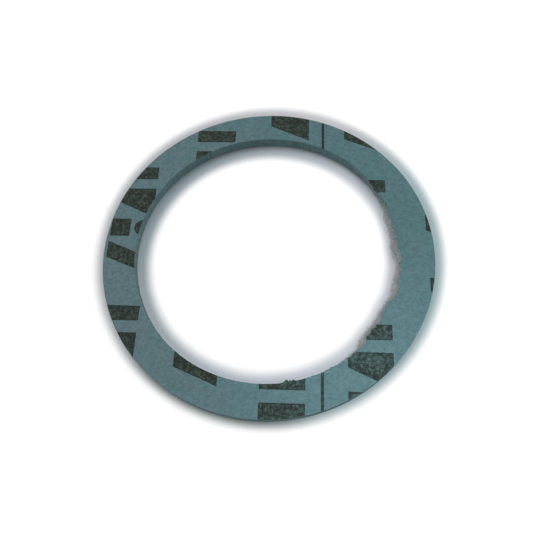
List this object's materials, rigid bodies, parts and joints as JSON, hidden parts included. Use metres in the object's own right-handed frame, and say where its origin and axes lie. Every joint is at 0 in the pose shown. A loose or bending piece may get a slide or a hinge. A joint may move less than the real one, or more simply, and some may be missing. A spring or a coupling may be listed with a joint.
{
  "type": "heating element gasket",
  "caption": "Flat ring gasket of compressed-fibre sheet that seals a screw-in heating element against its boss, with one torn stretch on the edge of its bore",
  "frame": {"origin": "the middle of the plain face, on the ring's axis, where the gasket rests", "axes": "+Z runs through the bore from the plain face to the printed face, and +X points at the torn stretch of the bore's edge"},
  "size_m": [0.052, 0.052, 0.002],
  "materials": {
    "fibre_sheet": "matte"
  },
  "bodies": {
    "root": {"gasket_ring": "fibre_sheet"}
  },
  "joints": []
}
